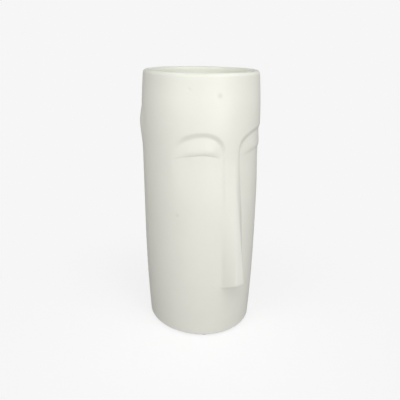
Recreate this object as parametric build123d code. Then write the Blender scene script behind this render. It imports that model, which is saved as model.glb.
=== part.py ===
from build123d import *
import math
import os

import numpy as np

# Face vase: a slip-cast ceramic tube, oval in plan, with an open mouth and a face in relief.
# It stands on four small stick-on pads. Millimetres, +Z up, and the face looks towards -Y.
# The origin is on the surface that the vase stands on, at the middle of its footprint.

# Body
overall_height = 300.0
body_width = 130.0
body_depth = 138.0
wall_thickness = 6.0
floor_thickness = 8.0
foot_taper = 3.6
foot_taper_height = 120.0
mouth_taper = 3.2
mouth_taper_height = 60.0
base_corner_radius = 1.0
lip_height = 3.5
floor_corner_radius = 14.0

# Pads and the foot ring that they are stuck to
pad_count = 4
pad_diameter = 10.0
pad_thickness = 2.5
pad_edge_radius = 0.8
pad_edge_inset = 2.8
pad_first_angle = -27.0
foot_ring_margin = 3.0
base_recess_depth = 1.5

# Eye sockets, open at the bottom: across is measured round the wall from the middle of the face
brow_apex_across = 33.1
brow_outer_across = 69.5
brow_height = 241.0
brow_inner_corner_height = 221.2
brow_outer_corner_height = 214.5
brow_curve_power = 2.2
brow_edge_width = 6.4
socket_depth = 1.4
bridge_side_depth = 2.3
brow_fade_start_across = 54.0
brow_fade_width = 16.0
cheek_fade_start_across = 52.0
cheek_fade_width = 22.0
cheek_fade_height_inner = 75.0
cheek_fade_height_outer = 45.0
right_eye_width_share = 1.4
right_brow_climb_share = 0.03

# Closed eyelids, which swell out of the socket again and roll in to a crisp lower edge
lid_apex_across = 36.4
lid_apex_height = 220.1
lid_inner_across = 11.8
lid_inner_height = 215.9
lid_curve_power = 1.45
lid_rise_width = 18.0
lid_roll_height = 6.5
lid_edge_width = 0.8
lid_edge_share = 0.15
lid_fill_share = 0.94

# Nose: a wedge with a flat front that grows out of the forehead and leans to one side
nose_top_height = 213.3
nose_foot_height = 65.2
nose_underside_rise = 5.0
nose_projection = 12.4
nose_tip_front_width = 11.0
nose_bridge_foot_width = 23.8
nose_tip_foot_width = 32.0
nose_bridge_wall_width = 5.0
nose_bridge_offset = -3.65
nose_tip_offset = 3.4
front_bridge_offset = 3.9
front_tip_offset = 1.4
nose_lean_power = 1.2
nose_lean_hold_across = 16.0
nose_lean_fade_width = 34.0
nose_corner_round = 0.8
ridge_round_share = 0.05

# Ears: a flat raised patch on each side, blunt at the top and long at the bottom
ear_angle = 113.0
ear_height = 245.2
ear_length_above = 21.6
ear_length_below = 32.6
ear_half_width = 17.0
ear_thickness = 2.2

# The inside follows the nose as a soft hollow, as a cast wall does
inside_follow_share = 0.55
inside_hollow_half_width = 13.0
inside_fade_height = 24.0

# Spacing of the sections that the surface runs through
fine_row_step = 1.3
eye_row_step = 1.7
plain_row_step = 9.0
face_column_step = 1.8
ear_column_step = 2.8
back_column_step = 9.0
arc_steps = 6

# Derived places
base_height = pad_thickness
wall_start_height = base_height + base_corner_radius
wall_end_height = overall_height - lip_height
floor_height = base_height + floor_thickness
face_radius = (body_width + body_depth) / 4
nose_tip_height = nose_foot_height + nose_underside_rise
ear_across = math.radians(ear_angle) * face_radius


def smooth(x):
    """A soft step: 0 below 0, 1 above 1 and an S curve between."""
    x = np.clip(x, 0, 1)
    return x * x * (3 - 2 * x)


def mix(a, b, share):
    return a + (b - a) * share


def body_shrink(z):
    """How far the wall lies inside the widest oval: two parabolas, at the foot and at the mouth."""
    foot = np.clip(1 - z / foot_taper_height, 0, 1)
    mouth = np.clip(1 - (overall_height - z) / mouth_taper_height, 0, 1)
    return foot_taper * foot**2 + mouth_taper * mouth**2


def nose_progress(z):
    """0 at the top of the nose, 1 at its foot."""
    return np.clip((nose_top_height - z) / (nose_top_height - nose_foot_height), 0, 1)


def nose_lean(z):
    """How much of its lean the nose has reached."""
    return nose_progress(z) ** nose_lean_power


def face_turn(across, z):
    """Angle round the axis of a place on the face: what is near the nose moves aside with it."""
    near_nose = 1 - smooth((np.abs(across) - nose_lean_hold_across) / nose_lean_fade_width)
    return (across + mix(nose_bridge_offset, nose_tip_offset, nose_lean(z)) * near_nose) / face_radius


def nose_half_widths(z):
    """Half widths of the nose's flat front and of its foot."""
    front = nose_tip_front_width / 2 * nose_progress(z)
    foot = mix(nose_bridge_foot_width, nose_tip_foot_width, nose_lean(z)) / 2
    return front, foot


def eye_across(across):
    """Distance from the middle of the face, less the right eye's extra width outside its inner corner."""
    beside = np.abs(across)
    outside = np.maximum(beside - lid_inner_across, 0)
    return beside - (across > 0) * outside * (1 - 1 / right_eye_width_share)


def inside_arch(across, z, top):
    """Distance inside the brow's arch, two quarters of a superellipse that meet at its top."""
    foot = nose_half_widths(z)[1]
    inner = across < brow_apex_across
    inner_width = brow_apex_across - foot + nose_bridge_wall_width / 2
    width = np.where(inner, inner_width, brow_outer_across - brow_apex_across)
    corner = np.where(inner, brow_inner_corner_height, brow_outer_corner_height)
    height = top - corner
    power = brow_curve_power
    u = np.maximum(np.abs(across - brow_apex_across) / width, 1e-6)
    v = np.maximum(z - corner, 0) / height
    level = (u**power + v**power) ** (1 / power)
    slope = np.hypot(u ** (power - 1) / width, v ** (power - 1) / height)
    return (1 - level) * level ** (power - 1) / slope


def lid_edge_height(across):
    """Height of the lid's lower edge: a parabola to the inner corner, a fuller curve to the outer."""
    inner = np.maximum(lid_apex_across - across, 0) / (lid_apex_across - lid_inner_across)
    outer = np.maximum(across - lid_apex_across, 0) / (brow_outer_across - lid_apex_across)
    inner_drop = (lid_apex_height - lid_inner_height) * inner**2
    outer_drop = (lid_apex_height - brow_outer_corner_height) * outer**lid_curve_power
    return lid_apex_height - inner_drop - outer_drop


def eye_relief(across, z):
    """The socket and cheek lie below the body's surface, and the lid swells out of the socket again."""
    top = brow_height + right_brow_climb_share * np.maximum(across - lid_inner_across, 0)
    beside = eye_across(across)
    below_brow = smooth((top - z) / (top - brow_inner_corner_height))
    edge_width = mix(brow_edge_width, nose_bridge_wall_width, below_brow * (beside < brow_apex_across))
    foot = nose_half_widths(z)[1]
    beside_nose = below_brow * (1 - smooth((beside - foot) / (brow_apex_across - foot)))
    depth_inside = inside_arch(beside, z, top)
    floor = smooth(depth_inside / edge_width + 1 / 2)
    above_edge = z - lid_edge_height(beside)
    closing = smooth((beside - brow_fade_start_across) / brow_fade_width)
    fade_height = mix(cheek_fade_height_inner, cheek_fade_height_outer, smooth(beside / brow_outer_across))
    cheek = 1 - smooth((beside - cheek_fade_start_across) / cheek_fade_width)
    cheek = cheek * (1 - smooth(-above_edge / fade_height))
    full_depth = mix(socket_depth, bridge_side_depth, beside_nose)
    depth = full_depth * floor * mix(cheek, 1, smooth(above_edge / lid_roll_height))
    rise = np.clip((depth_inside - edge_width / 2) / lid_rise_width, 0, 1)
    roll = 1 - (1 - np.clip(above_edge / lid_roll_height, 0, 1)) ** 2
    edge = mix(roll, smooth(above_edge / lid_edge_width), lid_edge_share)
    lid = mix(lid_fill_share * rise, 1, closing) * edge
    return -depth * (1 - lid)


def nose_relief(across, z):
    """A wedge with flat flanks and a flat front, whose underside rises from its foot to its tip."""
    front, foot = nose_half_widths(z)
    aside = mix(front_bridge_offset, front_tip_offset, nose_progress(z))
    side = np.where(across > aside, 1, -1)
    flank = (foot - side * across) / (foot - front - side * aside)
    flank = (flank + 1 - np.hypot(flank - 1, ridge_round_share)) / 2
    wedge = nose_projection * nose_progress(z) * np.maximum(flank, 0)
    underside = np.maximum(z - nose_foot_height, 0) * nose_projection / nose_underside_rise
    lower = (wedge + underside - np.hypot(wedge - underside, nose_corner_round)) / 2
    return np.maximum(lower, 0)


def ear_relief(across, z):
    """A flat patch, an oval with a short upper half and a long lower half."""
    along = np.where(z > ear_height, (z - ear_height) / ear_length_above, (ear_height - z) / ear_length_below)
    beside = (np.abs(across) - ear_across) / ear_half_width
    return ear_thickness * (1 - smooth(np.hypot(along, beside)))


def outside_relief(across, z):
    return eye_relief(across, z) + nose_relief(across, z) + ear_relief(across, z)


def inside_relief(across, z):
    """A soft hollow behind the nose, bell-shaped across and dying out below the nose's foot."""
    fade = smooth((z - nose_foot_height) / inside_fade_height + 1 / 2)
    bell = np.exp(-((across / inside_hollow_half_width) ** 2))
    return inside_follow_share * nose_projection * nose_progress(z) * fade * bell


def spaced(start, end, step_at):
    """Places from start to end whose spacing follows step_at, with the last one on the end."""
    places = [start]
    while places[-1] < end:
        places.append(places[-1] + step_at(places[-1]))
    places = np.array(places)
    return start + (places - start) * (end - start) / (places[-1] - start)


def row_step(z):
    """Rows lie close together at the nose's underside and at the eyes and ears."""
    if nose_foot_height - plain_row_step < z < nose_tip_height + fine_row_step:
        return fine_row_step
    low = min(lid_inner_height, brow_outer_corner_height) - plain_row_step
    high = max(brow_height, ear_height + ear_length_above)
    return eye_row_step if low < z < high else plain_row_step


def column_step(across):
    """Columns lie close together on the face and fairly close at the ears."""
    if across < brow_outer_across:
        return face_column_step
    return ear_column_step if abs(across - ear_across) < ear_half_width + back_column_step else back_column_step


half_way_round = math.pi * face_radius


def column_places():
    """Places all the way round the wall, alike on both sides, from just past the back to the back."""
    one_side = spaced(0, half_way_round, column_step)
    return np.concatenate([-one_side[1:-1][::-1], one_side])


columns = column_places()
spline_places = list(np.append(columns, columns[0] + 2 * half_way_round) - columns[0])


def ring_points(z, inset, relief):
    """Points of one section: the oval at this height, moved in by inset and out by the relief."""
    heights = np.full_like(columns, z)
    turn = face_turn(columns, heights)
    outwards = relief(columns, heights) - body_shrink(heights) - inset
    x = (body_width / 2 + outwards) * np.sin(turn)
    y = -(body_depth / 2 + outwards) * np.cos(turn)
    return np.stack([x, y, heights], axis=1)


def body_rings():
    """Sections in order: out round the base corner, up the outside, over the lip and down the inside."""
    corner_start = floor_height + floor_corner_radius
    quarter = np.linspace(0, math.pi / 2, arc_steps)
    rings = []
    for turn in quarter:
        inset = base_corner_radius * (1 - math.sin(turn))
        z = wall_start_height - base_corner_radius * math.cos(turn)
        rings.append(ring_points(z, inset, outside_relief))
    for z in spaced(wall_start_height, wall_end_height, row_step)[1:-1]:
        rings.append(ring_points(z, 0, outside_relief))
    for turn in np.linspace(0, math.pi, 2 * arc_steps + 1):
        inset = wall_thickness / 2 * (1 - math.cos(turn))
        z = wall_end_height + lip_height * math.sin(turn)
        rings.append(ring_points(z, inset, outside_relief))
    for z in spaced(corner_start, wall_end_height, lambda z: plain_row_step)[1:-1][::-1]:
        rings.append(ring_points(z, wall_thickness, inside_relief))
    for turn in quarter:
        inset = wall_thickness + floor_corner_radius * (1 - math.cos(turn))
        z = corner_start - floor_corner_radius * math.sin(turn)
        rings.append(ring_points(z, inset, inside_relief))
    return rings


rings = body_rings()
footprint = np.concatenate(rings)
axis_y = -(footprint[:, 1].min() + footprint[:, 1].max()) / 2


def ring_wire(points):
    """A closed smooth curve through one section, moved so that the footprint's middle is the origin."""
    moved = [(x, y + axis_y, z) for x, y, z in points]
    return Wire([Edge.make_spline(moved, periodic=True, parameters=spline_places)])


def base_oval(inset):
    """The oval of the base's outline, moved in by inset."""
    half_width = body_width / 2 - body_shrink(base_height) - inset
    half_depth = body_depth / 2 - body_shrink(base_height) - inset
    return half_width, half_depth


def make_vase_body():
    """The ceramic shell: one skin through all the sections, with a shallow recess inside the foot ring."""
    body = Solid.make_loft([ring_wire(points) for points in rings], ruled=True)
    half_width, half_depth = base_oval(pad_edge_inset + pad_diameter + foot_ring_margin)
    place = Location((0, axis_y, base_height))
    recess = extrude(place * Ellipse(half_width, half_depth), amount=base_recess_depth)
    return body - recess


def make_foot_pad(turn):
    """One stick-on pad under the foot ring, rounded at its lower edge."""
    half_width, half_depth = base_oval(pad_edge_inset + pad_diameter / 2)
    x = half_width * math.sin(turn)
    y = axis_y - half_depth * math.cos(turn)
    pad = Cylinder(pad_diameter / 2, pad_thickness, align=(Align.CENTER, Align.CENTER, Align.MIN))
    lower_edge = pad.edges().sort_by(Axis.Z)[0]
    return Pos(x, y, 0) * fillet(lower_edge, pad_edge_radius)


os.makedirs("parts", exist_ok=True)
export_step(make_vase_body(), "parts/vase_body.step")
for number in range(pad_count):
    turn = math.radians(pad_first_angle) + number * 2 * math.pi / pad_count
    export_step(make_foot_pad(turn), f"parts/foot_pad_{number + 1}.step")
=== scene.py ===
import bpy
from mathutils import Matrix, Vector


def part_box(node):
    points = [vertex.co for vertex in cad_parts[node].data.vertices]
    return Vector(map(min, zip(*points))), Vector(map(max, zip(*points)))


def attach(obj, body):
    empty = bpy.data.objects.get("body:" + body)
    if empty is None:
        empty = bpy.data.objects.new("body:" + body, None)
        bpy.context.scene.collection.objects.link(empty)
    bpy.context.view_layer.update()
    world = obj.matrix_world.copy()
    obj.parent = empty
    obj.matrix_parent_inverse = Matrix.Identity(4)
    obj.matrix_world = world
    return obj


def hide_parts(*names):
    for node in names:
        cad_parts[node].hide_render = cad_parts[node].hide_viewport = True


bl_info = {
    "name": "Face vase",
    "version": (1, 0, 0),
    "blender": (4, 5, 0),
    "location": "3D View > Sidebar > Face Vase",
    "description": "Builds a glazed face vase, the pads that it stands on and a plain studio round it",
    "category": "Object",
}

import math

import bpy
import numpy as np
from bpy.props import FloatProperty, FloatVectorProperty, PointerProperty
from mathutils import Matrix, Vector

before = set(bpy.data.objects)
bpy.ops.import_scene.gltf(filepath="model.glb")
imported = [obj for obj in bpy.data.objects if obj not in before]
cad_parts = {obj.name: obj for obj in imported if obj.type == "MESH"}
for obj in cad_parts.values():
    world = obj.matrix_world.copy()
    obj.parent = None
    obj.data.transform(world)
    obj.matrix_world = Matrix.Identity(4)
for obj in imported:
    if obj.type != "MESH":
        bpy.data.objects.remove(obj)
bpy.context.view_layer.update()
body_low, body_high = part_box("vase_body")
pad_low, pad_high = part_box("foot_pad_1")

mm = 0.001

# Spacing of the body's rows: at creases, at the eyes, at the ears and elsewhere
row_steps = (0.4 * mm, 0.8 * mm, 1.6 * mm, 2.6 * mm)
# Spacing of the body's columns: at the nose, on the face, at the ears and elsewhere
column_steps = (0.6 * mm, 1.1 * mm, 1.8 * mm, 4.5 * mm)
arc_steps = 6
recess_steps = 11
ring_steps = 5
inside_steps = 57
floor_steps = 13
pad_sides = 48
floor_squares = 8

# Marks in the glaze: place round the wall, height and radius in mm, and strength of the tint
glaze_marks = (
    (-50.7, 284.6, 1.5, 0.04),
    (-15.9, 278.8, 2.2, 0.22),
    (-64.2, 152.6, 2, 0.1),
)


def length(name, description, value):
    """A size property in metres."""
    return FloatProperty(name=name, description=description, default=value, unit="LENGTH", precision=5)


def number(name, description, value):
    """A property without a unit."""
    return FloatProperty(name=name, description=description, default=value)


def angle(name, description, degrees):
    """An angle property, given in degrees and kept in radians."""
    return FloatProperty(name=name, description=description, default=math.radians(degrees), subtype="ANGLE")


def share(name, description, value):
    """A property from 0 to 1."""
    return FloatProperty(name=name, description=description, default=value, min=0, max=1, subtype="FACTOR")


def color(name, description, value):
    """A colour property."""
    return FloatVectorProperty(
        name=name, description=description, default=value, size=3, min=0, max=1, subtype="COLOR"
    )


class FaceVaseBody(bpy.types.PropertyGroup):
    """Sizes of the cast body."""

    height: length("Height", "From the table to the lip", body_high.z)
    base_height: length("Base height", "From the table to the foot ring, the pads' thickness", body_low.z)
    width: length("Width", "Width of the oval, ear to ear, without the ears", 130 * mm)
    depth: length("Depth", "Depth of the oval, without the nose", 138 * mm)
    wall: length("Wall", "Thickness of the cast wall", 6 * mm)
    floor: length("Floor", "Thickness of the floor", 8 * mm)
    foot_taper: length("Foot taper", "How far the wall draws in at the foot", 3.6 * mm)
    foot_taper_height: length("Foot taper height", "Height at which the foot's taper starts", 120 * mm)
    mouth_taper: length("Mouth taper", "How far the wall draws in at the mouth", 3.2 * mm)
    mouth_taper_height: length("Mouth taper height", "Length of the mouth's taper", 60 * mm)
    base_corner: length("Base corner", "Radius of the outer corner at the base", 1 * mm)
    lip_height: length("Lip height", "Height of the rounded lip", 3.5 * mm)
    floor_corner: length("Floor corner", "Radius between the inside wall and the floor", 14 * mm)
    ring_width: length("Foot ring", "Width of the flat ring at the base", 14.8 * mm)
    recess_depth: length("Recess", "Depth of the recess inside the foot ring", 1.5 * mm)
    recess_round: length("Recess edge", "Radius of the recess's edges", 0.6 * mm)
    hollow_share: share("Hollow", "How much of the nose the inside follows", 0.55)
    hollow_half_width: length("Hollow half width", "Half width of the hollow behind the nose", 13 * mm)
    hollow_fade: length("Hollow fade", "Height over which the hollow dies out", 24 * mm)


class FaceVaseEyes(bpy.types.PropertyGroup):
    """Sizes of the brows and closed lids, measured round the wall from the middle of the face."""

    brow_apex: length("Brow apex", "Distance of the brow's highest point from the middle", 33.1 * mm)
    brow_outer: length("Brow outer", "Distance of the brow's outer end", 69.5 * mm)
    brow_height: length("Brow height", "Height of the brow's highest point", 241 * mm)
    inner_corner: length("Inner corner", "Height at which the brow runs into the nose", 221.2 * mm)
    outer_corner: length("Outer corner", "Height of the brow's outer end", 214.5 * mm)
    brow_power: number("Brow fullness", "Power of the brow's curve, 2 for an ellipse", 2.2)
    brow_edge: length("Brow edge", "Width of the step under the brow", 6.4 * mm)
    depth: length("Socket depth", "Depth of the socket under the brow", 1.4 * mm)
    bridge_depth: length("Bridge depth", "Depth of the socket and cheek beside the bridge", 2.3 * mm)
    brow_fade_start: length("Brow fade", "Where the brow's step starts to fade outwards", 54 * mm)
    brow_fade_width: length("Brow fade width", "Width over which the brow's step fades outwards", 16 * mm)
    cheek_fade_start: length("Cheek fade", "Where the cheek starts to fade outwards", 52 * mm)
    cheek_fade_width: length("Cheek fade width", "Width over which the cheek fades outwards", 22 * mm)
    cheek_fall_inner: length("Cheek fall, inner", "How far down the cheek fades, beside the nose", 75 * mm)
    cheek_fall_outer: length("Cheek fall, outer", "How far down the cheek fades, at the side", 45 * mm)
    lid_apex: length("Lid apex", "Distance of the lid edge's highest point from the middle", 36.4 * mm)
    lid_height: length("Lid height", "Height of the lid edge's highest point", 220.1 * mm)
    lid_inner: length("Lid inner end", "Distance of the lid's inner end", 11.8 * mm)
    lid_inner_height: length("Lid inner height", "Height of the lid's inner end", 215.9 * mm)
    lid_power: number("Lid curve", "Power of the lid edge's outer curve", 1.45)
    lid_rise: length("Lid rise", "Distance over which the lid swells out from under the brow", 18 * mm)
    lid_roll: length("Lid roll", "Height over which the lid rolls in to its edge", 6.5 * mm)
    lid_edge: length("Lid edge", "Width of the crisp step at the lid's lower edge", 0.8 * mm)
    lid_edge_share: share("Lid edge share", "How much of the lid's thickness that step takes", 0.15)
    lid_fill: share("Lid fill", "How much of the socket's depth the lid fills", 0.94)
    right_width: number("Right eye", "How many times as wide the right eye is", 1.4)
    right_climb: share("Right brow climb", "How fast the right brow climbs outwards", 0.03)


class FaceVaseNose(bpy.types.PropertyGroup):
    """Sizes of the nose, a wedge that grows out of the forehead and leans a little."""

    top: length("Top", "Height at which the wedge starts", 213.3 * mm)
    foot: length("Foot", "Height of the nose's foot on the wall", 65.2 * mm)
    underside_rise: length("Underside rise", "How much higher the tip is than the foot", 5 * mm)
    projection: length("Projection", "How far the tip stands out", 12.4 * mm)
    tip_front: length("Tip front", "Width of the flat front at the tip", 11 * mm)
    bridge_foot: length("Bridge foot", "Width on the wall at the bridge", 23.8 * mm)
    tip_foot: length("Tip foot", "Width on the wall at the tip", 32 * mm)
    bridge_wall: length("Bridge wall", "Width of the step from the bridge down to the cheek", 5 * mm)
    bridge_offset: length("Bridge offset", "Sideways place of the bridge", -3.65 * mm)
    tip_offset: length("Tip offset", "Sideways place of the tip", 3.4 * mm)
    bridge_front: length("Bridge front", "How far right of the nose's middle the flat front starts", 3.9 * mm)
    tip_aside: length("Tip front aside", "How far right of the nose's middle the flat front ends", 1.4 * mm)
    lean_power: number("Lean", "Power of the curve in which the nose leans", 1.2)
    lean_hold: length("Lean hold", "Distance from the nose that leans as much as it does", 16 * mm)
    lean_fade: length("Lean fade", "Width over which the lean dies out beyond", 34 * mm)
    corner_round: length("Corner round", "Softness of the underside's corner", 0.8 * mm)
    ridge_round: share("Ridge round", "How soft the edges of the flat front are", 0.05)


class FaceVaseEars(bpy.types.PropertyGroup):
    """Sizes of the ears, flat raised patches."""

    turn: angle("Place", "Angle from the nose to an ear", 113)
    height: length("Height", "Height of an ear's thickest point", 245.2 * mm)
    above: length("Above", "Length above that point", 21.6 * mm)
    below: length("Below", "Length below that point", 32.6 * mm)
    half_width: length("Half width", "Half of an ear's width", 17 * mm)
    thickness: length("Thickness", "How far an ear stands out", 2.2 * mm)


class FaceVasePads(bpy.types.PropertyGroup):
    """Sizes of the stick-on pads."""

    diameter: length("Diameter", "Diameter of a pad", pad_high.x - pad_low.x)
    thickness: length("Thickness", "Thickness of a pad", pad_high.z - pad_low.z)
    edge: length("Edge", "Radius of the lower edge", 0.8 * mm)
    film: length("Film", "Thickness of the adhesive film", 0.25 * mm)
    film_step: length("Film step", "How far the film stands back from the pad's side", 0.2 * mm)
    dish: length("Dish", "Depth of the moulded dish in the lower face", 0.15 * mm)


class FaceVaseGlaze(bpy.types.PropertyGroup):
    """Colours and finish of the glaze, the bare clay and the pads."""

    glaze: color("Glaze", "The satin glaze, outside", (0.882, 0.879, 0.802))
    # The inside's glaze: a little darker and yellower than the outside glaze.
    inside: color("Inside", "The glaze inside, where it lies thicker", (0.86, 0.868, 0.786))
    # Painted highlight: the nose's flat front is made lighter than the glaze.
    painted_nose_light: color("Thin glaze", "The glaze on the nose's front, where it runs thin", (0.9, 0.898, 0.831))
    # Painted shade: the nose's flanks are made darker low down.
    painted_flank_shade: color("Thick glaze", "The glaze low on the nose's flanks, where it gathers", (0.852, 0.846, 0.77))
    # Painted shade: the lip and a band below it are made darker, which dulls their highlight.
    painted_lip_shade: color("Rim", "The glaze on the lip, where the clay shows through", (0.782, 0.788, 0.712))
    # Height below the lip over which that painted shade dies out.
    painted_lip_shade_fade: length("Rim fade", "Height below the lip over which the glaze gets full again", 25 * mm)
    clay: color("Clay", "The bare clay of the foot ring", (0.8, 0.77, 0.7))
    speck: color("Speck", "An iron speck or pinhole in the glaze", (0.42, 0.41, 0.37))
    pad: color("Pad", "The pads' soft plastic", (0.62, 0.605, 0.58))
    film: color("Film", "The pads' adhesive film", (0.66, 0.65, 0.6))
    roughness: share("Roughness", "Roughness of the satin glaze", 0.46)
    mottle: length("Mottle", "Size of the glaze's faint clouds", 38 * mm)
    peel: length("Orange peel", "Size of the glaze's fine waves", 2.4 * mm)
    peel_depth: length("Orange peel depth", "Depth of the glaze's fine waves", 0.02 * mm)
    grain: length("Grain", "Size of the bare clay's grain", 0.35 * mm)
    grain_depth: length("Grain depth", "Depth of the bare clay's grain", 0.05 * mm)
    speck_cell: length("Speck spacing", "Width of the cells that may hold one speck each", 21 * mm)
    dimple: length("Dimple", "Depth of the dimples at specks and marks", 0.2 * mm)


class FaceVaseStudio(bpy.types.PropertyGroup):
    """Camera, lamps and floor."""

    distance: length("Distance", "Level distance from the vase's axis to the camera", 487.4 * mm)
    camera_height: length("Camera height", "Height of the camera above the table", 327 * mm)
    turn: angle("Turn", "Angle round the vase from the nose to the camera", -31.6)
    pitch: angle("Pitch", "How far the camera looks down", 20.11)
    roll: angle("Roll", "How far the camera is turned about its view", 0.52)
    aside: length("Aside", "Sideways place of the camera", 0.18 * mm)
    lens: FloatProperty(
        name="Lens", description="Focal length on a sensor 36 mm wide", default=38.68, unit="CAMERA"
    )
    floor_size: length("Floor", "Width of the floor", 14.0)
    paper: share("Paper", "Level of the pale floor and backdrop as the camera sees them", 0.9216)
    paper_light: share("Paper in the light", "Share of the light that the floor throws back", 0.3)
    paper_lit: share("Lit paper", "Level that the lamps and the sky give to paper of that tone", 0.62)
    shadow: share("Shadow", "How much of the lamps' shadow shows on the floor beside the vase", 0.3)
    shadow_reach: length("Shadow reach", "Distance from the vase at which the shadow has died out", 0.3)
    sky: number("Sky", "Strength of the light band all round", 1.1)
    sky_low: share("Sky, lower edge", "Height of the band's lower edge, as the sine of its elevation", 0.2)
    sky_high: share("Sky, upper edge", "Height of the band's upper edge, as the sine of its elevation", 0.6)
    sky_soft: share("Sky softness", "Width of the band's soft edges", 0.1)
    left_side: angle("Left lamp, aside", "Angle of the left lamp from the camera's direction", -45)
    left_rise: angle("Left lamp, up", "Angle of the left lamp from the level", 30)
    left_power: number("Left lamp", "Power of the left soft box in watts", 2.27)
    right_side: angle("Right lamp, aside", "Angle of the right lamp from the camera's direction", 45)
    right_rise: angle("Right lamp, up", "Angle of the right lamp from the level", 55)
    right_power: number("Right lamp", "Power of the right soft box in watts", 2.06)
    low_side: angle("Low lamp, aside", "Angle of the low lamp from the camera's direction", 30)
    low_rise: angle("Low lamp, up", "Angle of the low lamp from the level", 10)
    low_power: number("Low lamp", "Power of the low soft box in watts", 8.9)
    near_distance: length("Near lamps' distance", "Distance of the left and right lamps from the vase", 0.8)
    near_size: length("Near lamps' size", "Width of the left and right soft boxes", 0.4)
    low_distance: length("Low lamp's distance", "Distance of the low lamp from the vase", 1.6)
    low_size: length("Low lamp's size", "Width of the low soft box", 0.9)


def mix(a, b, part):
    return a + (b - a) * part


def smooth(x):
    """A soft step: 0 below 0, 1 above 1 and an S curve between."""
    x = np.clip(x, 0, 1)
    return x * x * (3 - 2 * x)


def spaced(start, end, step_at):
    """Places from start to end whose spacing follows step_at: equal parts of the running sum of 1 / step."""
    fine = np.linspace(start, end, 6001)
    middle = (fine[1:] + fine[:-1]) / 2
    count = np.concatenate([[0], np.cumsum(np.diff(fine) / step_at(middle))])
    return np.interp(np.linspace(0, count[-1], math.ceil(count[-1]) + 1), count, fine)


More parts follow.
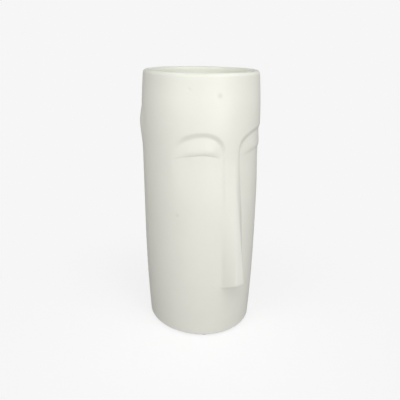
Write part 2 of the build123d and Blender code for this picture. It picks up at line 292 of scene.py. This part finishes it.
class Form:
    """The vase's surface as functions of two lengths in metres:
    across, round the wall from the middle of the face, and z, the height."""

    def __init__(self, scene):
        self.body = scene.face_vase_body
        self.eyes = scene.face_vase_eyes
        self.nose = scene.face_vase_nose
        self.ears = scene.face_vase_ears
        self.radius = (self.body.width + self.body.depth) / 4
        self.axis_y = 0.0
        self.axis_y = self.middle()

    def middle(self):
        """Place of the oval's axis along Y, with 0 midway between the back and the nose's tip."""
        z = np.linspace(self.nose.foot, self.nose.top, 600)[:, None]
        across = np.linspace(-self.nose.tip_foot, self.nose.tip_foot, 300)
        front = self.points(across, z, 0.0, 1.0, self.outside_relief(across, z))[..., 1].min()
        return -(front + self.body.depth / 2) / 2

    def shrink(self, z):
        """How far the wall lies inside the widest oval: two parabolas, at the foot and at the mouth."""
        b = self.body
        foot = np.clip(1 - z / b.foot_taper_height, 0, 1)
        mouth = np.clip(1 - (b.height - z) / b.mouth_taper_height, 0, 1)
        return b.foot_taper * foot**2 + b.mouth_taper * mouth**2

    def nose_progress(self, z):
        """0 at the top of the nose, 1 at its foot."""
        n = self.nose
        return np.clip((n.top - z) / (n.top - n.foot), 0, 1)

    def lean(self, z):
        """How much of its lean the nose has reached: a power of the progress down the nose."""
        return self.nose_progress(z) ** self.nose.lean_power

    def turn(self, across, z):
        """Angle round the axis of a place on the face: what is near the nose moves aside with it."""
        n = self.nose
        near = 1 - smooth((np.abs(across) - n.lean_hold) / n.lean_fade)
        return (across + mix(n.bridge_offset, n.tip_offset, self.lean(z)) * near) / self.radius

    def nose_half_widths(self, z):
        """Half widths of the nose's flat front and of its foot."""
        n = self.nose
        return n.tip_front / 2 * self.nose_progress(z), mix(n.bridge_foot, n.tip_foot, self.lean(z)) / 2

    def eye_place(self, across):
        """Distance from the middle of the face, less the right eye's extra width outside its inner corner."""
        e = self.eyes
        beside = np.abs(across)
        outside = np.maximum(beside - e.lid_inner, 0)
        return beside - (across > 0) * outside * (1 - 1 / e.right_width)

    def inside_arch(self, across, z, top):
        """Distance inside the brow's arch, two quarters of a superellipse that meet at its top:
        (1 - level) over the length of the level's gradient."""
        e, n = self.eyes, self.nose
        foot = self.nose_half_widths(z)[1]
        inner = across < e.brow_apex
        width = np.where(inner, e.brow_apex - foot + n.bridge_wall / 2, e.brow_outer - e.brow_apex)
        corner = np.where(inner, e.inner_corner, e.outer_corner)
        height = top - corner
        u = np.maximum(np.abs(across - e.brow_apex) / width, 1e-6)
        v = np.maximum(z - corner, 0) / height
        level = (u**e.brow_power + v**e.brow_power) ** (1 / e.brow_power)
        slope = np.hypot(u ** (e.brow_power - 1) / width, v ** (e.brow_power - 1) / height)
        return (1 - level) * level ** (e.brow_power - 1) / slope

    def lid_edge_height(self, across):
        """Height of the lid's lower edge: a parabola to the inner corner, a fuller curve to the outer."""
        e = self.eyes
        inner = np.maximum(e.lid_apex - across, 0) / (e.lid_apex - e.lid_inner)
        outer = np.maximum(across - e.lid_apex, 0) / (e.brow_outer - e.lid_apex)
        inner_drop = (e.lid_height - e.lid_inner_height) * inner**2
        outer_drop = (e.lid_height - e.outer_corner) * outer**e.lid_power
        return e.lid_height - inner_drop - outer_drop

    def eye_relief(self, across, z):
        """The socket and cheek lie below the body's surface, and the lid swells out of the socket again."""
        e, n = self.eyes, self.nose
        top = e.brow_height + e.right_climb * np.maximum(across - e.lid_inner, 0)
        across = self.eye_place(across)
        below_brow = smooth((top - z) / (top - e.inner_corner))
        edge = mix(e.brow_edge, n.bridge_wall, below_brow * (across < e.brow_apex))
        foot = self.nose_half_widths(z)[1]
        beside_nose = below_brow * (1 - smooth((across - foot) / (e.brow_apex - foot)))
        depth_inside = self.inside_arch(across, z, top)
        floor = smooth(depth_inside / edge + 1 / 2)
        above = z - self.lid_edge_height(across)
        closing = smooth((across - e.brow_fade_start) / e.brow_fade_width)
        cheek = 1 - smooth((across - e.cheek_fade_start) / e.cheek_fade_width)
        fall = mix(e.cheek_fall_inner, e.cheek_fall_outer, smooth(across / e.brow_outer))
        cheek = cheek * (1 - smooth(-above / fall))
        depth = mix(e.depth, e.bridge_depth, beside_nose) * floor * mix(cheek, 1, smooth(above / e.lid_roll))
        rise = np.clip((depth_inside - edge / 2) / e.lid_rise, 0, 1)
        roll = 1 - (1 - np.clip(above / e.lid_roll, 0, 1)) ** 2
        lid = mix(e.lid_fill * rise, 1, closing) * mix(roll, smooth(above / e.lid_edge), e.lid_edge_share)
        return -depth * (1 - lid)

    def nose_flank(self, across, z):
        """0 at the nose's foot, 1 at the edge of its flat front and more within it."""
        front, foot = self.nose_half_widths(z)
        aside = mix(self.nose.bridge_front, self.nose.tip_aside, self.nose_progress(z))
        side = np.where(across > aside, 1, -1)
        return (foot - side * across) / (foot - front - side * aside)

    def nose_facets(self, across, z):
        """Masks of the painted highlight on the nose's front and of the painted shade on its flanks, more so
        low down.
        """
        flank, down = self.nose_flank(across, z), self.nose_progress(z)
        above = smooth((z - self.nose.foot) / self.nose.underside_rise)
        front = smooth(8 * (flank - 1) + 0.7)
        # Painted highlight on the flat front, stronger low down.
        painted_nose_light = front * smooth(down * 1.4) * above
        # Painted shade on the flanks, low down.
        painted_flank_shade = smooth(6 * flank) * (1 - front) * smooth(2 * down - 0.8) * above
        return painted_nose_light, painted_flank_shade

    def nose_relief(self, across, z):
        """A wedge with flat flanks and a flat front, whose underside rises from its foot to its tip.
        The soft minimum of a and b is (a + b - hypot(a - b, softness)) / 2."""
        n = self.nose
        flank = self.nose_flank(across, z)
        flank = (flank + 1 - np.hypot(flank - 1, n.ridge_round)) / 2
        wedge = n.projection * self.nose_progress(z) * np.maximum(flank, 0)
        underside = np.maximum(z - n.foot, 0) * n.projection / n.underside_rise
        lower = (wedge + underside - np.hypot(wedge - underside, n.corner_round)) / 2
        return np.maximum(lower, 0)

    def ear_relief(self, across, z):
        """A flat patch, an oval with a short upper half and a long lower half."""
        e = self.ears
        along = np.where(z > e.height, (z - e.height) / e.above, (e.height - z) / e.below)
        beside = (np.abs(across) - e.turn * self.radius) / e.half_width
        return e.thickness * (1 - smooth(np.hypot(along, beside)))

    def outside_relief(self, across, z):
        return self.eye_relief(across, z) + self.nose_relief(across, z) + self.ear_relief(across, z)

    def inside_relief(self, across, z):
        """A soft hollow behind the nose, bell-shaped across and dying out below the nose's foot."""
        b, n = self.body, self.nose
        fade = smooth((z - n.foot) / b.hollow_fade + 1 / 2)
        bell = np.exp(-((across / b.hollow_half_width) ** 2))
        return b.hollow_share * n.projection * self.nose_progress(z) * fade * bell

    def points(self, across, z, inset, scale, relief):
        """Points on the oval at height z, moved in by inset and out by the relief.
        Scale then draws them to the axis."""
        turn = self.turn(across, z)
        outwards = relief - self.shrink(z) - inset
        x = (self.body.width / 2 + outwards) * np.sin(turn) * scale
        y = -(self.body.depth / 2 + outwards) * np.cos(turn) * scale
        return np.stack([x, y + self.axis_y, z * np.ones_like(x)], axis=-1)


def profile_rows(form):
    """Rows of the closed skin in order, as columns z, inset, scale and side (0 outside, 1 inside):
    over the recess and the foot ring, up the outside, over the lip, down the inside and over the floor."""
    b, e, n, ears = form.body, form.eyes, form.nose, form.ears
    arc = np.linspace(0, math.pi / 2, arc_steps + 1)
    bottom, start, end = b.base_height, b.base_height + b.base_corner, b.height - b.lip_height
    recess = bottom + b.recess_depth
    corner_start = bottom + b.floor + b.floor_corner

    def rows(z, inset, scale=1.0, side=0.0):
        return np.stack(np.broadcast_arrays(z, inset, scale, side), axis=1).astype(float)

    def step_at(z):
        """Rows lie close together at the eyes, the ears and the nose's underside."""
        crease = (z > e.outer_corner - 1 * mm) & (z < e.lid_height + 2 * mm)
        eye = (z > e.outer_corner - 6 * mm) & (z < e.brow_height + 5 * mm)
        ear = (z > ears.height - ears.below) & (z < ears.height + ears.above)
        tip = (z > n.foot - 3 * mm) & (z < n.foot + n.underside_rise + 4 * mm)
        return np.select([tip | crease, eye, ear], row_steps[:3], row_steps[3])

    ring_in = b.ring_width + b.base_corner
    outside_z = spaced(start, end, step_at)[1:-1]
    lip = np.linspace(0, math.pi, 3 * arc_steps + 1)
    inside_z = np.linspace(end, corner_start, inside_steps + 1)[1:-1]
    corner_inset = b.wall + b.floor_corner * (1 - np.cos(arc))
    return np.concatenate([
        rows(recess, ring_in + b.recess_round, np.linspace(0, 1, recess_steps + 1)[1:]),
        rows(recess - b.recess_round * (1 - np.cos(arc)), ring_in + b.recess_round * (1 - np.sin(arc)))[1:],
        rows(bottom, np.linspace(ring_in, b.base_corner, ring_steps + 1)),
        rows(start - b.base_corner * np.cos(arc), b.base_corner * (1 - np.sin(arc)))[1:],
        rows(outside_z, 0.0),
        rows(end + b.lip_height * np.sin(lip), b.wall / 2 * (1 - np.cos(lip))),
        rows(inside_z, b.wall, 1.0, 1.0),
        rows(corner_start - b.floor_corner * np.sin(arc), corner_inset, 1.0, 1.0),
        rows(bottom + b.floor, b.wall + b.floor_corner, np.linspace(1, 0, floor_steps + 1)[1:-1], 1.0),
    ])


def column_places(form):
    """Places of the columns round the wall, close together on the face and alike on both sides."""
    n, e, ears = form.nose, form.eyes, form.ears

    def step_at(across):
        nose = across < n.tip_foot / 2 + 3 * mm
        face = across < e.brow_outer + 6 * mm
        ear = np.abs(across - ears.turn * form.radius) < ears.half_width + 4 * mm
        return np.select([nose, face, ear], column_steps[:3], column_steps[3])

    half = spaced(0, math.pi * form.radius, step_at)
    return np.concatenate([-half[1:-1][::-1], half])


def closed_mesh(name, grid, first_pole, last_pole):
    """A mesh from a grid of rings that closes round its columns, with a point at each end.
    The quads join each point to the next ring and the next column, and fans close the two ends."""
    ring_count, column_count = grid.shape[:2]
    verts = np.concatenate([grid.reshape(-1, 3), [first_pole], [last_pole]])
    here = np.arange(column_count)
    beside = np.roll(here, -1)
    row = np.arange(ring_count - 1)[:, None] * column_count
    next_row = row + column_count
    quads = np.stack([row + here, row + beside, next_row + beside, next_row + here], axis=-1)
    first, last = len(verts) - 2, len(verts) - 1
    top = (ring_count - 1) * column_count
    start_fan = np.stack([np.full_like(here, first), beside, here], axis=-1)
    end_fan = np.stack([np.full_like(here, last), top + here, top + beside], axis=-1)
    mesh = bpy.data.meshes.new(name)
    loops = np.concatenate([quads.ravel(), start_fan.ravel(), end_fan.ravel()])
    sizes = np.concatenate([np.full(quads.size // 4, 4), np.full(2 * column_count, 3)])
    mesh.vertices.add(len(verts))
    mesh.vertices.foreach_set("co", verts.astype(np.float32).ravel())
    mesh.loops.add(len(loops))
    mesh.loops.foreach_set("vertex_index", loops.astype(np.int32))
    mesh.polygons.add(len(sizes))
    mesh.polygons.foreach_set("loop_start", np.concatenate([[0], np.cumsum(sizes)[:-1]]).astype(np.int32))
    mesh.polygons.foreach_set("loop_total", sizes.astype(np.int32))
    mesh.update(calc_edges=True)
    mesh.validate()
    mesh.polygons.foreach_set("use_smooth", np.ones(len(sizes), dtype=bool))
    return mesh


def add_piece(mesh, material, slot, *nodes):
    """Puts a finished mesh in the scene as a piece of the vase that stands for CAD nodes."""
    piece = bpy.data.objects.new(mesh.name, mesh)
    bpy.context.scene.collection.objects.link(piece)
    mesh.materials.append(material)
    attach(piece, "root")
    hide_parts(*nodes)


class Socket:
    """An output socket on which + - * and / add Math nodes."""

    def __init__(self, paint, socket):
        self.paint = paint
        self.socket = socket

    def maths(self, operation, *values):
        return self.paint.add("ShaderNodeMath", {"operation": operation}, dict(enumerate(values)))

    def __add__(self, other):
        return self.maths("ADD", self, other)

    def __sub__(self, other):
        return self.maths("SUBTRACT", self, other)

    def __rsub__(self, other):
        return self.maths("SUBTRACT", other, self)

    def __mul__(self, other):
        return self.maths("MULTIPLY", self, other)

    def __truediv__(self, other):
        return self.maths("DIVIDE", self, other)

    __radd__ = __add__
    __rmul__ = __mul__

    def step(self, low, high):
        """A soft step from 0 at low to 1 at high."""
        settings = {"interpolation_type": "SMOOTHSTEP"}
        inputs = {"Value": self, "From Min": low, "From Max": high}
        if low > high:
            return 1 - self.step(high, low)
        return self.paint.add("ShaderNodeMapRange", settings, inputs, "Result")


class Paint:
    """A procedural material, or the world, and the nodes in it."""

    def __init__(self, name, owner=None):
        self.owner = owner or bpy.data.materials.new(name)
        self.owner.use_nodes = True
        self.tree = self.owner.node_tree
        self.tree.nodes.clear()

    def add(self, kind, settings=None, inputs=None, output=0):
        """Adds a node of any kind: its settings first, then the values or links of its sockets."""
        node = self.tree.nodes.new(kind)
        for key, value in (settings or {}).items():
            setattr(node, key, value)
        for key, value in (inputs or {}).items():
            target = self.find(node.inputs, key)
            if isinstance(value, Socket):
                self.tree.links.new(value.socket, target)
            else:
                target.default_value = value
        return Socket(self, self.find(node.outputs, output))

    @staticmethod
    def find(sockets, key):
        """A socket by its number, or by its identifier or name."""
        if isinstance(key, int):
            return sockets[key]
        return next(s for s in sockets if key in (s.identifier, s.name))

    def place(self):
        return self.add("ShaderNodeTexCoord", output="Object")

    def attribute(self, name):
        return self.add("ShaderNodeAttribute", {"attribute_name": name}, output="Fac")

    def noise(self, size, detail=2.0):
        """Noise with blotches of about this size, from 0 to 1."""
        inputs = {"Vector": self.place(), "Scale": 1 / size, "Detail": detail, "Roughness": 0.5}
        return self.add("ShaderNodeTexNoise", inputs=inputs, output="Fac")

    def blend(self, part, first, second):
        """Mixes two colours."""
        inputs = {"Factor_Float": part, "A_Color": first, "B_Color": second}
        return self.add("ShaderNodeMix", {"data_type": "RGBA"}, inputs, "Result_Color")

    def near(self, point, radius, softness):
        """1 near a point and 0 further out, with a soft step at the radius."""
        inputs = {0: self.place(), 1: tuple(point)}
        gap = self.add("ShaderNodeVectorMath", {"operation": "DISTANCE"}, inputs, "Value")
        return gap.step(radius * (1 + softness), radius * (1 - softness))

    def bump(self, height, distance, normal=None):
        inputs = {"Height": height, "Distance": distance, "Strength": 1.0}
        if normal:
            inputs["Normal"] = normal
        return self.add("ShaderNodeBump", inputs=inputs, output="Normal")

    def finish(self, shader, kind="ShaderNodeOutputMaterial"):
        output = self.tree.nodes.new(kind)
        self.tree.links.new(shader.socket, output.inputs["Surface"])
        return self.owner


def opaque(rgb):
    return (*rgb, 1.0)


def glaze_material(form, look):
    """Satin glaze with faint mottling, specks and a few marks. The foot ring is bare clay."""
    paint = Paint("satin_glaze")
    cloud = paint.noise(look.mottle, 3.0)
    painted_nose_light = paint.attribute("painted_nose_light")
    painted_flank_shade = paint.attribute("painted_flank_shade")
    painted_lip_shade = paint.attribute("painted_lip_shade")
    inside = paint.attribute("inside")
    bare = paint.attribute("bare")
    tone = paint.blend(cloud.step(0.35, 0.7), opaque(look.glaze), opaque([0.985 * c for c in look.glaze]))
    # Painted highlight on the nose's front.
    tone = paint.blend(painted_nose_light, tone, opaque(look.painted_nose_light))
    # Painted shade on the nose's flanks.
    tone = paint.blend(painted_flank_shade, tone, opaque(look.painted_flank_shade))
    # The inside's tone, a little darker and yellower than outside.
    tone = paint.blend(inside, tone, opaque(look.inside))
    # Painted shade on the lip and below it.
    tone = paint.blend(painted_lip_shade, tone, opaque(look.painted_lip_shade))
    cells = {"Vector": paint.place(), "Scale": 1 / look.speck_cell, "Randomness": 1.0}
    cell_gap = paint.add("ShaderNodeTexVoronoi", {"feature": "F1"}, cells, "Distance")
    cell_tint = paint.add("ShaderNodeTexVoronoi", {"feature": "F1"}, cells, "Color")
    cell_level = paint.add("ShaderNodeSeparateColor", inputs={0: cell_tint}, output="Red")
    specks = cell_gap.step(0.034, 0.016) * cell_level.step(0.62, 0.66)
    marks = 0.25 * specks
    dimples = specks
    for across, z, radius, tint in glaze_marks:
        point = form.points(np.float64(across * mm), np.float64(z * mm), 0.0, 1.0, 0.0)
        mark = paint.near(point, radius * mm, 0.9)
        marks = marks + tint * mark
        dimples = dimples + mark
    tone = paint.blend(marks, tone, opaque(look.speck))
    tone = paint.blend(bare, tone, opaque(look.clay))
    grain = paint.noise(look.grain)
    orange_peel = paint.noise(look.peel)
    rough = look.roughness + 0.1 * (cloud - 0.5) + 0.12 * painted_lip_shade + 0.4 * bare
    normal = paint.bump(orange_peel, look.peel_depth)
    normal = paint.bump(grain * (bare + 0.04), look.grain_depth, normal)
    normal = paint.bump(0 - dimples, look.dimple, normal)
    inputs = {"Base Color": tone, "Roughness": rough, "Normal": normal, "IOR": 1.5}
    return paint.finish(paint.add("ShaderNodeBsdfPrincipled", inputs=inputs))


def pad_material(look):
    """Soft clear-grey plastic with a fine moulded grain, and a paler adhesive film at the top."""
    paint = Paint("pad_plastic")
    cloud = paint.noise(3 * mm)
    film = paint.attribute("film")
    tone = paint.blend(cloud.step(0.3, 0.7), opaque(look.pad), opaque([0.9 * c for c in look.pad]))
    tone = paint.blend(film, tone, opaque(look.film))
    grain = paint.noise(0.25 * mm)
    inputs = {
        "Base Color": tone,
        "Roughness": 0.5 + 0.15 * (cloud - 0.5),
        "Normal": paint.bump(grain, 0.02 * mm),
        "IOR": 1.45,
    }
    return paint.finish(paint.add("ShaderNodeBsdfPrincipled", inputs=inputs))


def add_values(mesh, name, values):
    """A number for each point of a mesh, for a material to read."""
    mesh.attributes.new(name, "FLOAT", "POINT").data.foreach_set("value", values.astype(np.float32).ravel())


class FACEVASE_OT_body(bpy.types.Operator):
    """Build the cast and glazed body with its face"""

    bl_idname = "face_vase.body"
    bl_label = "Body"

    def execute(self, context):
        form = Form(context.scene)
        z, inset, scale, side = profile_rows(form).T[:, :, None]
        across = column_places(form)[None, :]
        relief = np.where(side > 0.5, form.inside_relief(across, z), form.outside_relief(across, z))
        skin = form.points(across, z, inset, scale, relief)
        first = (0, form.axis_y, z[0, 0])
        last = (0, form.axis_y, z[-1, 0])
        mesh = closed_mesh("vase_shell", skin, first, last)
        look = context.scene.face_vase_glaze
        b = form.body
        outside = side * np.ones_like(relief) < 0.5
        # Painted highlight on the nose's front and painted shade on its flanks.
        painted_nose_light, painted_flank_shade = form.nose_facets(across, z)
        top = b.height - b.lip_height
        # Painted shade on the lip, and at half strength down the fade height below it.
        painted_lip_shade = np.maximum(0.5 * smooth((z - top) / look.painted_lip_shade_fade + 1), smooth((z - top) / b.lip_height + 0.3))
        poles = [0.0, 0.0]
        on_ring = (inset >= b.base_corner * 0.9) & (inset <= b.ring_width + b.base_corner)
        bare = np.where(on_ring & (z < b.base_height + 0.2 * mm), 1.0, 0.0)
        add_values(mesh, "painted_nose_light", np.append(np.where(outside, painted_nose_light, 0), poles))
        add_values(mesh, "painted_flank_shade", np.append(np.where(outside, painted_flank_shade, 0), poles))
        add_values(mesh, "painted_lip_shade", np.append(painted_lip_shade * np.ones_like(relief), poles))
        add_values(mesh, "inside", np.append(np.where(outside, 0.0, 1.0), [0.0, 1.0]))
        add_values(mesh, "bare", np.append(bare * np.ones_like(relief), poles))
        add_piece(mesh, glaze_material(form, look), "ceramic_glaze", "vase_body")
        return {"FINISHED"}


class FACEVASE_OT_pads(bpy.types.Operator):
    """Build the stick-on pads under the foot ring"""

    bl_idname = "face_vase.pads"
    bl_label = "Pads"

    def execute(self, context):
        pads = context.scene.face_vase_pads
        material = pad_material(context.scene.face_vase_glaze)
        turn = np.linspace(0, 2 * math.pi, pad_sides + 1)[:-1]
        arc = np.linspace(0, math.pi / 2, arc_steps + 1)
        outer, low_flat = pads.diameter / 2, pads.diameter / 2 - pads.edge
        film_low = pads.thickness - pads.film
        groove = outer - pads.film_step
        inner = np.linspace(0.1, 0.8, 6)
        radius = np.concatenate([
            inner * low_flat,
            low_flat + pads.edge * np.sin(arc),
            [outer, groove, groove, groove],
            groove * inner[::-1],
        ])
        height = np.concatenate([
            pads.dish * (1 - smooth(inner / inner[-1])),
            pads.edge * (1 - np.cos(arc)),
            [film_low - pads.film, film_low, film_low, pads.thickness],
            np.full(len(inner), pads.thickness),
        ])
        film = np.where(height > film_low - 1e-6, 1.0, 0.0)
        nodes = sorted(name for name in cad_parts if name.startswith("foot_pad"))
        for node in nodes:
            low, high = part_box(node)
            centre = (low + high) / 2
            x = centre.x + radius[:, None] * np.cos(turn)
            y = centre.y + radius[:, None] * np.sin(turn)
            grid = np.stack([x, y, height[:, None] + low.z + 0 * x], axis=-1)
            first = (centre.x, centre.y, low.z + pads.dish)
            last = (centre.x, centre.y, low.z + pads.thickness)
            mesh = closed_mesh(node.replace("foot_pad", "stick_on_pad"), grid, first, last)
            add_values(mesh, "film", np.append(film[:, None] + 0 * x, [0.0, 1.0]))
            add_piece(mesh, material, "pad_rubber", node)
        return {"FINISHED"}


def paper_material(name, studio):
    """Pale paper that the camera sees as an even tone, with a part of the shadow near the vase.
    Light rays meet it as a greyer paper."""
    paint = Paint(name)
    level, light = studio.paper, studio.paper_light
    seen = paint.add("ShaderNodeLightPath", output="Is Camera Ray")
    away = paint.add("ShaderNodeVectorMath", {"operation": "LENGTH"}, {0: paint.place()}, "Value")
    shadow = away.step(studio.shadow_reach, 0) * studio.shadow
    tone = paint.blend(seen, opaque([light] * 3), opaque([level] * 3))
    diffuse = paint.add("ShaderNodeBsdfDiffuse", inputs={"Color": tone})
    strength = (1 - shadow * (studio.paper_lit / level)) / (1 - shadow)
    glow = paint.add("ShaderNodeEmission", inputs={"Color": opaque([level] * 3), "Strength": strength})
    inputs = {0: seen * (1 - shadow), 1: diffuse, 2: glow}
    return paint.finish(paint.add("ShaderNodeMixShader", inputs=inputs))


def add_lamp(name, target, direction, distance, size, power):
    """A square soft box at a distance from a target, which it points at."""
    data = bpy.data.lights.new(name, "AREA")
    data.size = size
    data.energy = power
    lamp = bpy.data.objects.new(name, data)
    bpy.context.scene.collection.objects.link(lamp)
    lamp.location = target + distance * direction
    lamp.rotation_euler = direction.to_track_quat("Z", "Y").to_euler()


class FACEVASE_OT_studio(bpy.types.Operator):
    """Set up the floor, the lamps and the camera"""

    bl_idname = "face_vase.studio"
    bl_label = "Studio"

    def execute(self, context):
        scene = context.scene
        studio = scene.face_vase_studio
        self.add_floor(studio)
        self.add_world(scene, studio)
        axis = Vector((0, Form(scene).axis_y, 0))
        middle = axis + Vector((0, 0, body_high.z / 2))
        away = Vector((math.sin(studio.turn), -math.cos(studio.turn), 0))
        right = Vector((math.cos(studio.turn), math.sin(studio.turn), 0))

        def towards(side, rise):
            """Direction to a lamp, by its angles from the camera's own direction and from the level."""
            level = away * math.cos(side) + right * math.sin(side)
            return level * math.cos(rise) + Vector((0, 0, math.sin(rise)))

        s = studio
        lamps = (
            ("left", s.left_side, s.left_rise, s.near_distance, s.near_size, s.left_power),
            ("right", s.right_side, s.right_rise, s.near_distance, s.near_size, s.right_power),
            ("low", s.low_side, s.low_rise, s.low_distance, s.low_size, s.low_power),
        )
        for name, side, rise, distance, size, power in lamps:
            add_lamp(name, middle, towards(side, rise), distance, size, power)
        self.add_camera(scene, studio, axis, away, right)
        scene.view_settings.view_transform = "Standard"
        return {"FINISHED"}

    def add_floor(self, studio):
        """A level sheet of equal squares under the pads."""
        half, count = studio.floor_size / 2, floor_squares
        grid = np.linspace(-half, half, count + 1)
        x, y = np.meshgrid(grid, grid)
        verts = np.stack([x.ravel(), y.ravel(), np.zeros(x.size)], axis=1)
        first = (np.arange(count)[:, None] * (count + 1) + np.arange(count)).ravel()
        faces = np.stack([first, first + 1, first + count + 2, first + count + 1], axis=1)
        mesh = bpy.data.meshes.new("floor")
        mesh.from_pydata(verts.tolist(), [], faces.tolist())
        mesh.materials.append(paper_material("paper", studio))
        floor = bpy.data.objects.new("floor", mesh)
        bpy.context.scene.collection.objects.link(floor)

    def add_world(self, scene, studio):
        """A soft band of light all round, which the camera sees as the same pale tone as the floor."""
        world = bpy.data.worlds.new("studio")
        world.use_nodes = True
        paint = Paint(world.name, world)
        direction = paint.add("ShaderNodeTexCoord", output="Generated")
        rise = paint.add("ShaderNodeSeparateXYZ", inputs={0: direction}, output="Z")
        half = studio.sky_soft / 2
        band = rise.step(studio.sky_low - half, studio.sky_low + half)
        band = band * rise.step(studio.sky_high + half, studio.sky_high - half)
        light = paint.add("ShaderNodeBackground", inputs={"Strength": band * studio.sky})
        seen = paint.add("ShaderNodeBackground", inputs={"Color": opaque([studio.paper] * 3)})
        ray = paint.add("ShaderNodeLightPath", output="Is Camera Ray")
        shader = paint.add("ShaderNodeMixShader", inputs={0: ray, 1: light, 2: seen})
        paint.finish(shader, "ShaderNodeOutputWorld")
        scene.world = world

    def add_camera(self, scene, studio, axis, away, right):
        """The camera looks at the vase from its height and turn, pitched down and rolled a little."""
        data = bpy.data.cameras.new("camera")
        data.lens = studio.lens
        data.sensor_width = 36
        camera = bpy.data.objects.new("camera", data)
        scene.collection.objects.link(camera)
        forward = Vector((0, 0, -math.sin(studio.pitch))) - away * math.cos(studio.pitch)
        up = right.cross(forward)
        turned = Matrix((right, up, -forward)).transposed() @ Matrix.Rotation(studio.roll, 3, "Z")
        place = axis + away * studio.distance + right * studio.aside + Vector((0, 0, studio.camera_height))
        camera.matrix_world = Matrix.Translation(place) @ turned.to_4x4()
        scene.camera = camera


class FACEVASE_PT_panel(bpy.types.Panel):
    """The vase's pieces and their sizes."""

    bl_label = "Face Vase"
    bl_space_type = "VIEW_3D"
    bl_region_type = "UI"
    bl_category = "Face Vase"

    def draw(self, context):
        for operator in OPERATORS:
            self.layout.operator(operator.bl_idname)
        for name, group in GROUPS.items():
            box = self.layout.box()
            box.label(text=group.__doc__)
            for key in group.__annotations__:
                box.prop(getattr(context.scene, name), key)


GROUPS = {
    "face_vase_body": FaceVaseBody,
    "face_vase_eyes": FaceVaseEyes,
    "face_vase_nose": FaceVaseNose,
    "face_vase_ears": FaceVaseEars,
    "face_vase_pads": FaceVasePads,
    "face_vase_glaze": FaceVaseGlaze,
    "face_vase_studio": FaceVaseStudio,
}
OPERATORS = (FACEVASE_OT_body, FACEVASE_OT_pads, FACEVASE_OT_studio)


def register():
    for group in GROUPS.values():
        bpy.utils.register_class(group)
    for operator in OPERATORS:
        bpy.utils.register_class(operator)
    bpy.utils.register_class(FACEVASE_PT_panel)
    for name, group in GROUPS.items():
        setattr(bpy.types.Scene, name, PointerProperty(type=group))


def unregister():
    for name in GROUPS:
        delattr(bpy.types.Scene, name)
    bpy.utils.unregister_class(FACEVASE_PT_panel)
    for operator in reversed(OPERATORS):
        bpy.utils.unregister_class(operator)
    for group in reversed(GROUPS.values()):
        bpy.utils.unregister_class(group)


def main():
    register()
    bpy.ops.face_vase.body()
    bpy.ops.face_vase.pads()
    bpy.ops.face_vase.studio()


if __name__ == "__main__":
    main()
